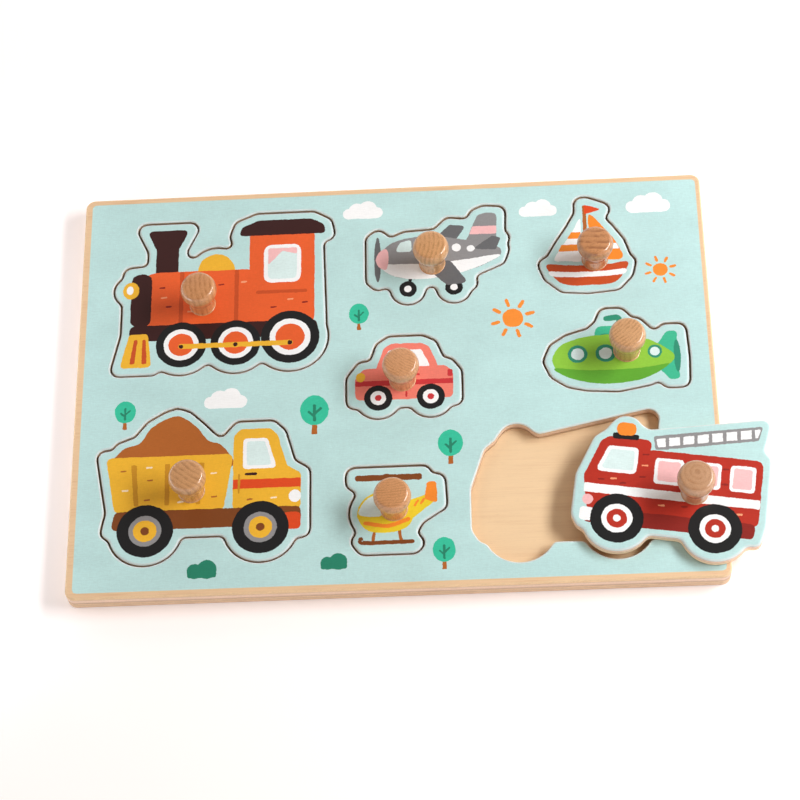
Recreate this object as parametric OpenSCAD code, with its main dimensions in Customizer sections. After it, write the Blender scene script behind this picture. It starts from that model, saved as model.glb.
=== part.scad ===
// Baby's peg puzzle: a plywood board with eight cut-outs and eight plywood pieces, each with a turned peg.
// Seven pieces sit in their cut-outs. The eighth lies on the board, half over its empty cut-out.
// Millimetres. The origin is the centre of the board's underside, +X to the right, +Y away, +Z up.

/* [Board] */
// Length of the board, left to right
board_w = 300; // [296:1:320]
// Depth of the board, near to far
board_d = 211; // [208:1:230]
// Thickness of the upper plate, which is the depth of the cut-outs
cutout_t = 5.1; // [4.5:0.1:8]
// Thickness of the backing plate under it
backing_t = 4.6; // [2.5:0.1:7]
// Radius of the board's corners, seen from above
corner_r = 4.5; // [3:0.5:10]
// Rounding of the board's upper edge
top_edge_r = 0.8; // [0.4:0.1:2.5]
// Rounding of the board's lower edge
bottom_edge_r = 0.4; // [0.3:0.1:1.5]

/* [Pieces] */
// Thickness of a piece
piece_t = 5; // [4:0.1:8]
// Border left round the picture on a piece
margin = 3.8; // [3:0.1:4.5]
// Radius of the inner corners of a piece's outline
hollow_r = 3.2; // [1:0.1:4]
// Gap between a piece and the wall of its cut-out
piece_gap = 0.9; // [0.5:0.1:1.5]

/* [Pictures] */
// Width of the locomotive
locomotive_w = 98; // [90:1:100]
// Height of the locomotive
locomotive_h = 79; // [70:1:81]
// Width of the aeroplane
aeroplane_w = 61; // [54:1:64]
// Height of the aeroplane
aeroplane_h = 45; // [40:1:50]
// Width of the sailboat
sailboat_w = 38; // [34:1:42]
// Height of the sailboat
sailboat_h = 45; // [40:1:50]
// Width of the car
car_w = 46; // [40:1:50]
// Height of the car
car_h = 35; // [32:1:40]
// Width of the submarine
submarine_w = 60; // [54:1:63]
// Height of the submarine
submarine_h = 36; // [32:1:40]
// Width of the lorry
lorry_w = 91; // [82:1:94]
// Height of the lorry
lorry_h = 71; // [64:1:74]
// Width of the helicopter
helicopter_w = 38; // [34:1:42]
// Height of the helicopter
helicopter_h = 36; // [32:1:40]
// Width of the fire engine
fire_engine_w = 80; // [72:1:84]
// Height of the fire engine
fire_engine_h = 65; // [58:1:68]

/* [Pegs] */
// Height of a peg above its piece
peg_h = 18.5; // [17:0.5:26]
// Widest diameter of a peg's head
peg_head_dia = 17.2; // [14:0.1:20]
// Diameter of a peg where it stands on its piece
peg_foot_dia = 11.8; // [9:0.1:13]
// Diameter of the flat on top of a peg
peg_top_dia = 12.8; // [8:0.1:13.5]
// Height of a peg's widest ring above its piece
peg_ring_h = 14; // [10:0.1:15.8]
// Height of the straight part of a peg's neck
peg_neck_h = 4.5; // [2:0.5:9]
// Rise of the top of a peg from its rim to its middle
peg_crown = 0.5; // [0.2:0.1:1]
// Diameter of the tenon glued into the piece
tenon_dia = 6; // [4:0.5:8]
// Glue gap round the tenon, on the radius
glue_gap = 0.03; // [0.01:0.01:0.1]
// Distance from the tenon's end to the underside of its piece
tenon_short = 0.3; // [0.1:0.1:1]

/* [Loose piece] */
// How far the loose piece lies to the right of its cut-out
loose_right = 46.5; // [0:0.5:50]
// How far the loose piece lies nearer than its cut-out
loose_near = 3; // [0:0.5:10]
// Turn of the loose piece, clockwise from above
loose_turn = 9; // [0:1:20]

/* [Hidden] */

// Segments of a full circle in an outline and in a turned piece
outline_fn = 36;
turned_fn = 96;
// Steps of the curve of a peg's flare and of its shoulder
flare_steps = 10;
shoulder_steps = 6;
// Overrun of every cut past the face that it opens
overrun = 1;

board_t = backing_t + cutout_t;
birch = "BurlyWood";
beech = "Peru";

// Which picture is which, in the tables below
LOCOMOTIVE = 0;
AEROPLANE = 1;
SAILBOAT = 2;
CAR = 3;
SUBMARINE = 4;
LORRY = 5;
HELICOPTER = 6;
FIRE_ENGINE = 7;
ALL = [LOCOMOTIVE, AEROPLANE, SAILBOAT, CAR, SUBMARINE, LORRY, HELICOPTER, FIRE_ENGINE];

// Size of each picture
sizes = [[locomotive_w, locomotive_h], [aeroplane_w, aeroplane_h], [sailboat_w, sailboat_h],
    [car_w, car_h], [submarine_w, submarine_h], [lorry_w, lorry_h],
    [helicopter_w, helicopter_h], [fire_engine_w, fire_engine_h]];

// Centre of each cut-out, as shares of the board's length and depth from its centre
place_shares = [[-0.2693, 0.2394], [0.0737, 0.3152], [0.3113, 0.3255], [0.0167, 0.0067],
    [0.3487, 0.0535], [-0.2953, -0.2389], [0.0023, -0.3161], [0.2647, -0.2735]];

// Peg of each piece, as shares of the picture's width and height from its centre
peg_shares = [[-0.104, -0.075], [-0.044, -0.104], [0.101, -0.187], [-0.015, -0.048],
    [0.083, -0.024], [-0.056, -0.043], [-0.029, 0.012], [0.13, -0.058]];

// Round masses of each picture: centre as shares of its width and height, radius as a share of its height
disc_shares = [
    [[-0.204, -0.348, 0.152], [0.061, -0.348, 0.152], [0.327, -0.323, 0.177], [-0.04, 0.15, 0.117],
        [-0.459, 0.038, 0.053]],
    [[-0.238, -0.407, 0.093], [0.123, -0.407, 0.093]],
    [],
    [[-0.265, -0.314, 0.187], [0.27, -0.314, 0.187]],
    [],
    [[-0.286, -0.317, 0.183], [0.297, -0.317, 0.183]],
    [[-0.205, -0.033, 0.27], [-0.03, -0.033, 0.28], [-0.118, 0.43, 0.058]],
    [[-0.288, -0.315, 0.185], [0.263, -0.315, 0.185], [-0.288, 0.36, 0.062]]];

// Other masses of each picture, each a closed run of corners as shares of its width and height
corner_shares = [
    [
        [[-0.46, 0.15], [-0.46, -0.32], [0.46, -0.32], [0.46, -0.21], [0.444, 0.4], [0.12, 0.4], [0.12, 0.158],
            [-0.36, 0.158]],
        [[0.066, 0.392], [0.082, 0.456], [0.163, 0.5], [0.429, 0.5], [0.49, 0.456], [0.5, 0.392]],
        [[-0.34, 0.1], [-0.34, 0.32], [-0.393, 0.456], [-0.179, 0.456], [-0.23, 0.32], [-0.23, 0.1]],
        [[-0.459, -0.266], [-0.367, -0.266], [-0.347, -0.494], [-0.5, -0.494]]
    ],
    [
        [[-0.43, -0.1], [-0.4, 0.12], [-0.25, 0.215], [-0.03, 0.23], [0.2, 0.178], [0.39, 0.1], [0.495, 0.044],
            [0.467, -0.067], [0.23, -0.211], [-0.066, -0.289], [-0.295, -0.267], [-0.418, -0.178]],
        [[0.18, 0], [0.32, 0.467], [0.377, 0.5], [0.475, 0.489], [0.459, 0]],
        [[-0.082, 0.111], [0.115, 0.111], [0.23, 0.344], [0.098, 0.367]],
        [[-0.5, -0.27], [-0.5, 0.21], [-0.47, 0.24], [-0.447, 0.21], [-0.447, -0.27], [-0.47, -0.31]],
        [[0.279, 0.056], [0.434, 0.2], [0.5, 0.178], [0.459, 0.033]],
        [[0.066, -0.356], [0.238, -0.356], [0.19, -0.2], [0, -0.1]]
    ],
    [
        [[-0.5, -0.231], [0.5, -0.231], [0.461, -0.356], [0.329, -0.476], [0, -0.5], [-0.289, -0.48],
            [-0.447, -0.36]],
        [[0.058, 0.367], [0.237, 0.2], [0.382, 0.011], [0.447, -0.178], [0.45, -0.25], [-0.41, -0.25],
            [-0.408, -0.178], [-0.289, 0], [-0.158, 0.169], [-0.058, 0.322]],
        [[-0.02, 0.5], [0.02, 0.5], [0.21, 0.431], [0.02, 0.37], [-0.02, 0.37]]
    ],
    [
        [[-0.5, -0.343], [-0.5, -0.029], [-0.413, 0.129], [0.435, 0.143], [0.5, 0.029], [0.5, -0.343]],
        [[-0.304, 0.029], [-0.207, 0.429], [-0.13, 0.5], [0.174, 0.5], [0.261, 0.443], [0.38, 0.029]]
    ],
    [
        [[-0.5, -0.139], [-0.46, 0.02], [-0.36, 0.13], [-0.233, 0.194], [0, 0.211], [0.233, 0.139], [0.4, 0],
            [0.4, -0.27], [0.233, -0.428], [0, -0.5], [-0.233, -0.472], [-0.36, -0.42], [-0.46, -0.3]],
        [[-0.158, 0.12], [-0.158, 0.26], [-0.1, 0.347], [0.16, 0.347], [0.208, 0.26], [0.208, 0.12]],
        [[-0.08, 0.42], [-0.06, 0.5], [0.03, 0.5], [0.058, 0.45], [0.058, 0.25], [0.009, 0.25], [0.009, 0.42]],
        [[0.26, -0.139], [0.4, 0.236], [0.488, 0.236], [0.497, -0.139], [0.488, -0.472], [0.4, -0.472]]
    ],
    [
        [[-0.5, 0.211], [0.154, 0.211], [0.154, -0.31], [-0.465, -0.31], [-0.445, -0.18]],
        [[0.13, -0.31], [0.154, 0.338], [0.187, 0.387], [0.341, 0.387], [0.379, 0.338], [0.429, 0.113],
            [0.5, 0.056], [0.5, -0.338], [0.415, -0.338]],
        [[-0.46, 0.19], [-0.418, 0.268], [-0.33, 0.31], [-0.264, 0.42], [-0.187, 0.48], [-0.143, 0.5],
            [-0.099, 0.48], [-0.033, 0.4], [0.033, 0.31], [0.121, 0.24], [0.13, 0.19]]
    ],
    [
        [[-0.5, 0.4], [-0.5, 0.49], [0.316, 0.49], [0.316, 0.4]],
        [[-0.158, 0.1], [-0.158, 0.45], [-0.079, 0.45], [-0.079, 0.1]],
        [[0.053, 0.1], [0.35, 0.18], [0.368, 0.372], [0.484, 0.372], [0.497, 0.07], [0.46, 0.05], [0.13, -0.18]],
        [[-0.434, -0.42], [-0.38, -0.494], [0.184, -0.494], [0.21, -0.464], [0.184, -0.434], [0.07, -0.434],
            [0.05, -0.2], [-0.29, -0.2], [-0.3, -0.42]]
    ],
    [
        [[-0.476, -0.35], [-0.5, -0.3], [-0.5, -0.015], [-0.425, 0.262], [-0.381, 0.308], [-0.138, 0.308],
            [-0.138, 0.231], [0.5, 0.231], [0.5, -0.25], [0.481, -0.36]],
        [[-0.35, 0.29], [-0.35, 0.36], [-0.21, 0.36], [-0.21, 0.29]],
        [[-0.11, 0.23], [-0.13, 0.338], [0.478, 0.497], [0.462, 0.36], [0.4, 0.23]]
    ]
];

// Round masses of a picture
module round_masses(size, shares) {
    for (s = shares)
        translate([s[0] * size[0], s[1] * size[1]])
            circle(r = s[2] * size[1], $fn = outline_fn);
}

// Masses of a picture that are bounded by straight runs
module cornered_masses(size, runs) {
    for (run = runs)
        polygon([for (s = run) [s[0] * size[0], s[1] * size[1]]]);
}

// Outline of a piece, centred on its picture: the picture grown by the border, its inner corners filled
module piece_outline(which) {
    offset(r = -hollow_r, $fn = outline_fn)
        offset(r = hollow_r + margin, $fn = outline_fn) {
            round_masses(sizes[which], disc_shares[which]);
            cornered_masses(sizes[which], corner_shares[which]);
        }
}

// Puts its children where the centre of a cut-out is
module at_cutout(which) {
    translate([place_shares[which][0] * board_w, place_shares[which][1] * board_d, 0])
        children();
}

// Puts its children where a piece lies, with zero at the piece's underside
module at_piece(which) {
    if (which == FIRE_ENGINE)
        at_cutout(which)
            translate([loose_right, -loose_near, board_t])
                rotate([0, 0, -loose_turn])
                    children();
    else
        at_cutout(which)
            translate([0, 0, backing_t])
                children();
}

// Puts its children at a piece's peg, with zero at the piece's underside
module at_peg(which) {
    at_piece(which)
        translate([peg_shares[which][0] * sizes[which][0], peg_shares[which][1] * sizes[which][1], 0])
            children();
}

// Quarter round of radius r from (0, 0) up to (r, r), bulging away from (r, 0)
function rounded_side(r) =
    [for (k = [0:shoulder_steps]) let (a = 90 * k / shoulder_steps) [r - r * cos(a), r * sin(a)]];

// Half section of a plate with one rounded edge: half width w, thickness t, the rounding at its upper edge
function edge_section(w, t, r) =
    concat([[0, 0], [w, 0]], [for (p = rounded_side(r)) [w - p[0], t - r + p[1]]], [[0, t]]);

// Whole section of a plate, both sides rounded
function full_section(w, t, r) =
    let (half = edge_section(w, t, r))
    concat([for (k = [1:len(half) - 2]) half[k]], [for (k = [len(half) - 2:-1:1]) [-half[k][0], half[k][1]]]);

// Plate of the board's plan, its upper edge rounded: two crossed bars and four turned corners
module rounded_plate(t, r) {
    rotate([90, 0, 90])
        linear_extrude(board_w - 2 * corner_r, center = true)
            polygon(full_section(board_d / 2, t, r));
    rotate([90, 0, 0])
        linear_extrude(board_d - 2 * corner_r, center = true)
            polygon(full_section(board_w / 2, t, r));
    for (x = [-1, 1], y = [-1, 1])
        translate([x * (board_w / 2 - corner_r), y * (board_d / 2 - corner_r), 0])
            rotate_extrude($fn = turned_fn)
                polygon(edge_section(corner_r, t, r));
}

// Upper plate of the board, with its eight cut-outs
module cutout_plate() {
    color(birch)
        translate([0, 0, backing_t])
            difference() {
                rounded_plate(cutout_t, top_edge_r);
                for (which = ALL)
                    at_cutout(which)
                        translate([0, 0, -overrun])
                            linear_extrude(cutout_t + 2 * overrun)
                                offset(delta = piece_gap)
                                    piece_outline(which);
            }
}

// Plate glued under it, whose upper face is the floor of the cut-outs
module backing_plate() {
    color(birch)
        translate([0, 0, backing_t])
            mirror([0, 0, 1])
                rounded_plate(backing_t, bottom_edge_r);
}

// A piece, with the bore that its peg is glued into
module plate_of(which) {
    difference() {
        at_piece(which)
            linear_extrude(piece_t)
                piece_outline(which);
        at_peg(which)
            translate([0, 0, -overrun])
                cylinder(d = tenon_dia + 2 * glue_gap, h = piece_t + 2 * overrun, $fn = turned_fn);
    }
}

// Half section of a peg from its foot to its top: a straight neck, a flare up to the ring, a shoulder and a low crown
function flare_r(t) = (peg_foot_dia + (peg_head_dia - peg_foot_dia) * t * t * (3 - 2 * t)) / 2;
function peg_section() = concat(
    [[peg_foot_dia / 2, 0]],
    [for (k = [0:flare_steps]) let (t = k / flare_steps) [flare_r(t), peg_neck_h + t * (peg_ring_h - peg_neck_h)]],
    [for (k = [1:shoulder_steps]) let (a = 90 * k / shoulder_steps)
        [peg_top_dia / 2 + (peg_head_dia - peg_top_dia) / 2 * cos(a),
            peg_ring_h + (peg_h - peg_crown - peg_ring_h) * sin(a)]],
    [[0, peg_h]]);

// A turned peg, with its tenon
module peg_of(which) {
    at_peg(which)
        translate([0, 0, piece_t])
            rotate_extrude($fn = turned_fn)
                polygon(concat([[0, tenon_short - piece_t], [tenon_dia / 2, tenon_short - piece_t],
                    [tenon_dia / 2, 0]], peg_section()));
}

module locomotive_plate() { color("OrangeRed") plate_of(LOCOMOTIVE); }
module aeroplane_plate() { color("DarkGray") plate_of(AEROPLANE); }
module sailboat_plate() { color("Orange") plate_of(SAILBOAT); }
module car_plate() { color("Salmon") plate_of(CAR); }
module submarine_plate() { color("YellowGreen") plate_of(SUBMARINE); }
module lorry_plate() { color("GoldenRod") plate_of(LORRY); }
module helicopter_plate() { color("Gold") plate_of(HELICOPTER); }
module fire_engine_plate() { color("FireBrick") plate_of(FIRE_ENGINE); }

module locomotive_peg() { color(beech) peg_of(LOCOMOTIVE); }
module aeroplane_peg() { color(beech) peg_of(AEROPLANE); }
module sailboat_peg() { color(beech) peg_of(SAILBOAT); }
module car_peg() { color(beech) peg_of(CAR); }
module submarine_peg() { color(beech) peg_of(SUBMARINE); }
module lorry_peg() { color(beech) peg_of(LORRY); }
module helicopter_peg() { color(beech) peg_of(HELICOPTER); }
module fire_engine_peg() { color(beech) peg_of(FIRE_ENGINE); }

cutout_plate();
backing_plate();
locomotive_plate();
aeroplane_plate();
sailboat_plate();
car_plate();
submarine_plate();
lorry_plate();
helicopter_plate();
fire_engine_plate();
locomotive_peg();
aeroplane_peg();
sailboat_peg();
car_peg();
submarine_peg();
lorry_peg();
helicopter_peg();
fire_engine_peg();
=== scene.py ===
"""Looks of the peg puzzle: a printed plywood board, eight printed vehicle pieces and their beech pegs.

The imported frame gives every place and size. Outlines are worked out in millimetres, seen from above, and
turned to metres when a mesh is made.
"""
import math

import bmesh
import bpy
import numpy as np
from mathutils import Matrix, Vector
from mathutils.geometry import delaunay_2d_cdt

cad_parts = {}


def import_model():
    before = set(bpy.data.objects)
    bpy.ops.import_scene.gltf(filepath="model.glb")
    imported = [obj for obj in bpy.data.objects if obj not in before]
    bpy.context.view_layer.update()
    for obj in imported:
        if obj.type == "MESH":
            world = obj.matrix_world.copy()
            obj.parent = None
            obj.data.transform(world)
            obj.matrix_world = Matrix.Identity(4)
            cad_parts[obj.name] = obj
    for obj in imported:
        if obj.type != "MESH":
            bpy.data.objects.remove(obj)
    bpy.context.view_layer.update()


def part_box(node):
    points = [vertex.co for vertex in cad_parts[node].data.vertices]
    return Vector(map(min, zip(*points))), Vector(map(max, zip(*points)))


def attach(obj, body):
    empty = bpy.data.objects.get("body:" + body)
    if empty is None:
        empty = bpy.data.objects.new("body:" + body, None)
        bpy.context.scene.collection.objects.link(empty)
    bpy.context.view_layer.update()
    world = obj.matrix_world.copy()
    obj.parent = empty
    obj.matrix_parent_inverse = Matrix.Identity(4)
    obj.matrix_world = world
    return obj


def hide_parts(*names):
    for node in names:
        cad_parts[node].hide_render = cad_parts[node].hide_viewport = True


MM = 0.001

# Pictures: width and height of each, and its peg as shares of them from its
# centre, as the frame has them
PICTURES = {
    "locomotive": (98, 79, -0.104, -0.075),
    "aeroplane": (61, 45, -0.044, -0.104),
    "sailboat": (38, 45, 0.101, -0.187),
    "car": (46, 35, -0.015, -0.048),
    "submarine": (60, 36, 0.083, -0.024),
    "lorry": (91, 71, -0.056, -0.043),
    "helicopter": (38, 36, -0.029, 0.012),
    "fire_engine": (80, 65, 0.130, -0.058),
}
# The piece that lies beside its cut-out, and how far it is turned
LOOSE = "fire_engine"
LOOSE_TURN = math.radians(-9)

# Sanded roundings: how far each reaches in, then up or down. First a piece's upper and lower edges, then
# the board's, then the rims of its cut-outs.
PIECE_EDGE = (1.6, 0.8)
PIECE_FOOT = (0.35, 0.35)
BOARD_EDGE = (0.8, 0.8)
BOARD_FOOT = (0.4, 0.4)
RIM_EDGE = (0.7, 0.6)

# Facets of the roundings of a piece, of the board, of a rim and of the board's foot, and the share of
# its reach and rise at which the rounding of a piece's foot has its one bend
PIECE_FACETS = 6
BOARD_FACETS = 8
RIM_FACETS = 4
FOOT_FACETS = 5
FOOT_BEND_SHARE = 0.3

# The facet of a piece's rounding from which its mint is paler, partly print worn by sanding and partly a
# painted highlight, and the level ring that borders each rounding
WORN_AND_SHEEN_FROM = 3
LEVEL_RING = 0.05

# Radius of the bore that holds a peg's tenon
BORE_R = 3.03

# Bare wood left round the printed field of the board, and the radius of the field's corners
BORDER_LEFT = 3.3
BORDER_RIGHT = 2.3
BORDER_NEAR = 3.0
BORDER_FAR = 2.85
FIELD_CORNER = 1.6

# Spacing of the points of a cut outline, of the board's own, of its
# printed field and of a printed shape
CUT_STEP = 0.6
BOARD_STEP = 0.7 * CUT_STEP
FIELD_STEP = 3 * CUT_STEP
PRINT_STEP = 0.45

# Reach of the sanding that softens the facets of a cut outline, and how many reaches to each side the
# bell of a softening takes in
CUT_SOFTENING = 0.9
BELL_REACHES = 3

# A printed edge wanders by this much, in shares of a slow wave and a fine grain. The wave has a random
# height about every so many points, a few to spare, and even slopes between them. Both together stay
# within a limit of so many times the wander.
PRINT_WANDER = 0.12
SLOW_SHARE = 0.6
FINE_SHARE = 0.5
WAVE_POINTS = 6
WAVE_SPARE = 3
WANDER_LIMIT = 2.5

# Points round an ellipse, along a stretch of a smooth curve and over a pen's round end, and
# the fewest that a closed run may have
ROUND_POINTS = 64
CURVE_STEPS = 8
PEN_END_POINTS = 5
FEWEST_POINTS = 12

# Points of a plain corner, of a bar's and of a brush mark's. A bar's corners reach further than their
# radius, because a parabola turns more tightly than the circle it stands for, and the radius of a brush
# mark's is a share of its width.
CORNER_POINTS = 6
BAR_CORNER_POINTS = 8
BAR_CORNER_REACH = 1.25
DASH_CORNER_POINTS = 4
DASH_CORNER_SHARE = 0.4

# Printing inks, as they look on the sanded veneer. Worn mint is the board's mint made paler on the roundings:
# partly print that sanding has thinned, partly a painted highlight along every edge.
INKS = {
    "mint": "#bbdfdf", "worn_mint": "#cfdedf", "orange": "#e6602c", "ember": "#c54f22",
    "peach": "#f3a177", "soot": "#381716", "black": "#17181a", "white": "#f3f6f8",
    "yellow": "#ecb532", "honey": "#c98f22", "brown": "#ae6228", "umber": "#7d431b",
    "scarlet": "#dc4a1c", "brick": "#b42e1e", "maroon": "#8a2119", "pink": "#f3bdbf",
    "grey": "#8e8e90", "slate": "#66686b", "coral": "#ee8070", "red": "#c9353a",
    "leaf": "#8cc63f", "moss": "#5fa832", "teal": "#3db992", "sea": "#2e8f72",
    "tangerine": "#f08a2c", "lemon": "#e9ce2c", "pine": "#248268", "jade": "#35c19d",
    "sun": "#f38f35", "sky": "#d7eeee", "cream": "#f8e6c8",
}


def linear(colour):
    """An sRGB hex value as linear red, green, blue and alpha."""
    c = np.array([int(colour[k:k + 2], 16) for k in (1, 3, 5)]) / 255
    c = np.where(c <= 0.04045, c / 12.92, ((c + 0.055) / 1.055) ** 2.4)
    return (*c.tolist(), 1.0)


# Shapes in the plane, each an array of points in millimetres that runs once round


def disc(x, y, rx, ry=None):
    """An ellipse: its centre plus its radii times the cosine and sine of an even angle."""
    a = np.linspace(0, 2 * np.pi, ROUND_POINTS, endpoint=False)
    return np.stack([x + rx * np.cos(a), y + (rx if ry is None else ry) * np.sin(a)], 1)


def rounded(corners, r=1.0, points=CORNER_POINTS):
    """A polygon whose corners are parabolas: each starts and ends where a
    circle of radius r would touch."""
    here = np.array(corners, float)
    before = np.roll(here, 1, 0) - here
    after = np.roll(here, -1, 0) - here
    long_before = np.hypot(*before.T)[:, None]
    long_after = np.hypot(*after.T)[:, None]
    before = before / long_before
    after = after / long_after
    angle = np.arccos(np.clip((before * after).sum(1, keepdims=True), -1, 1))
    cut = np.minimum(r / np.tan(angle / 2), np.minimum(long_before, long_after) / 2)
    t = np.linspace(0, 1, points)[None, :, None]
    start = (here + before * cut)[:, None]
    end = (here + after * cut)[:, None]
    return ((1 - t) ** 2 * start + 2 * t * (1 - t) * here[:, None] + t ** 2 * end).reshape(-1, 2)


def bar(x0, y0, x1, y1, r=1.0):
    """A rectangle with rounded corners."""
    return rounded([(x0, y0), (x1, y0), (x1, y1), (x0, y1)], r * BAR_CORNER_REACH, BAR_CORNER_POINTS)


def spline(points, closed=True):
    """A Catmull-Rom curve: each stretch is the cubic through its ends with
    slopes along their neighbours."""
    p = np.array(points, float)
    if closed:
        p = np.concatenate([p[-1:], p, p[:2]])
    else:
        p = np.concatenate([2 * p[:1] - p[1:2], p, 2 * p[-1:] - p[-2:-1]])
    a, b, c, d = (p[k:len(p) - 3 + k][:, None] for k in range(4))
    t = (np.arange(CURVE_STEPS) / CURVE_STEPS)[None, :, None]
    curve = 0.5 * (2 * b + (c - a) * t + (2 * a - 5 * b + 4 * c - d) * t ** 2
                   + (3 * b - a - 3 * c + d) * t ** 3)
    curve = curve.reshape(-1, 2)
    return curve if closed else np.concatenate([curve, p[-2:-1]])


def blob(*points):
    """A closed smooth curve through the points."""
    return spline(points)


def stroke(points, width):
    """A line drawn with a round pen: the path moved half the width to each side,
    with half circles at its ends."""
    path = spline(points, closed=False) if len(points) > 2 else np.array(points, float)
    along = np.gradient(path, axis=0)
    along /= np.hypot(*along.T)[:, None]
    side = np.stack([-along[:, 1], along[:, 0]], 1) * width / 2
    half_turn = np.linspace(-np.pi / 2, np.pi / 2, PEN_END_POINTS + 2)[1:-1]

    def end(point, direction):
        angle = math.atan2(direction[1], direction[0]) + half_turn
        return point + np.stack([np.cos(angle), np.sin(angle)], 1) * width / 2

    return np.concatenate([path - side, end(path[-1], along[-1]),
                           (path + side)[::-1], end(path[0], -along[0])])


def resample(loop, step):
    """The same closed run with its points an even step apart, measured along it."""
    ring = np.concatenate([loop, loop[:1]])
    length = np.concatenate([[0], np.cumsum(np.hypot(*np.diff(ring, axis=0).T))])
    count = max(FEWEST_POINTS, int(round(length[-1] / step)))
    at = np.linspace(0, length[-1], count, endpoint=False)
    return np.stack([np.interp(at, length, ring[:, k]) for k in (0, 1)], 1)


def soften(loop, reach, step):
    """A closed run of even points, each replaced by the mean of itself and its neighbours, weighted by
    a bell whose half breadth is the reach."""
    spread = int(math.ceil(BELL_REACHES * reach / step))
    weights = np.exp(-0.5 * (np.arange(-spread, spread + 1) * step / reach) ** 2)
    weights /= weights.sum()
    return sum(w * np.roll(loop, k, 0) for w, k in zip(weights, range(-spread, spread + 1)))


def outward(loop):
    """Unit vectors to the right of the direction of travel, which is away
    from the wood on every cut loop."""
    along = np.roll(loop, -1, 0) - np.roll(loop, 1, 0)
    along /= np.hypot(*along.T)[:, None]
    return np.stack([along[:, 1], -along[:, 0]], 1)


def hand_printed(loop, rng):
    """A printed edge that wanders: even points moved along their normals by a
    smooth wave and a fine grain."""
    even = resample(loop, PRINT_STEP)
    count = len(even)
    knots = count // WAVE_POINTS + WAVE_SPARE
    slow = np.interp(np.arange(count), np.linspace(0, count, knots), rng.normal(size=knots))
    shift = PRINT_WANDER * (SLOW_SHARE * slow + FINE_SHARE * rng.normal(size=count))
    limit = WANDER_LIMIT * PRINT_WANDER
    return even + outward(even) * np.clip(shift, -limit, limit)[:, None]


def wheel(x, y, r, *rings):
    """A wheel as discs inside each other: the tyre, then each ink with its share of the radius."""
    return [("black", disc(x, y, r))] + [(ink, disc(x, y, r * share)) for ink, share in rings]


def dashes(ink, places, length=3.0, width=0.85, rise=0.25):
    """Short marks of a dry brush, centred on the places. Each rises a little
    from its left end to its right."""
    mark = np.array([(-length, -rise - width), (length, rise - width), (length, rise + width),
                     (-length, -rise + width)]) / 2
    return [(ink, rounded(mark + place, width * DASH_CORNER_SHARE, DASH_CORNER_POINTS)) for place in places]


def locomotive_print():
    """A steam locomotive that faces left, seen from the side."""
    art = [
        ("soot", bar(-33.5, 8, -22.5, 31, 1.5)),
        ("soot", rounded([(-33.4, 25), (-22.4, 25), (-17.5, 36), (-38.5, 36)], 2.5)),
        ("yellow", disc(-4, 12, 9, 9.5)),
        ("orange", bar(-42, -18, 20, 12.5, 9)),
        ("soot", bar(-45, -17, -35, 12, 5)),
        ("ember", bar(-21.6, -17, -19.6, 12.3, 0.6)),
        ("ember", bar(5, -17, 7, 12.3, 0.6)),
        ("orange", bar(12, -18, 43.5, 33, 2.5)),
        ("soot", rounded([(6.5, 31), (8, 36), (16, 39.5), (42, 39.5), (48, 36), (49, 31)], 3)),
        ("white", bar(19, 4.5, 37, 25.5, 3.5)),
        ("sky", bar(21, 6.5, 35, 23.5, 2.2)),
        ("pink", rounded([(21, 23.5), (35, 23.5), (35, 20), (28, 22), (21, 14)], 0.8)),
        ("ember", bar(15.5, -1.5, 40, 0.3, 0.7)),
        ("soot", bar(-45.2, -25, 45, -16.5, 3)),
        ("yellow", rounded([(-45, -21), (-36, -21), (-34, -39), (-49, -39)], 2)),
        ("ember", rounded([(-42.6, -24), (-41, -24), (-42, -37), (-44.4, -37)], 0.6)),
        ("ember", rounded([(-38.6, -24), (-37, -24), (-36.2, -37), (-38.6, -37)], 0.6)),
        ("yellow", disc(-45, 3, 3.9, 4.6)),
        ("white", disc(-45.6, 3.3, 1.7, 2.3)),
    ]
    art += dashes("maroon", [(-30, 4), (-26.5, -6.5), (-15.5, 6.4), (-1.5, 4.5), (24, -9), (39, -7)])
    art += dashes("peach", [(-29, -1.5), (-16, -9.5), (9.6, 5.5), (32, -5)])
    for x, y, r in ((-20, -27.5, 12), (6, -27.5, 12), (32, -25.5, 14)):
        art += wheel(x, y, r, ("white", 0.7), ("orange", 0.5))
    art.append(("yellow", stroke([(-20, -28.5), (6, -28.5), (32, -28.5)], 2.6)))
    return art + [("soot", disc(x, -28.5, 1.1)) for x in (-20, 6, 32)]


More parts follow.
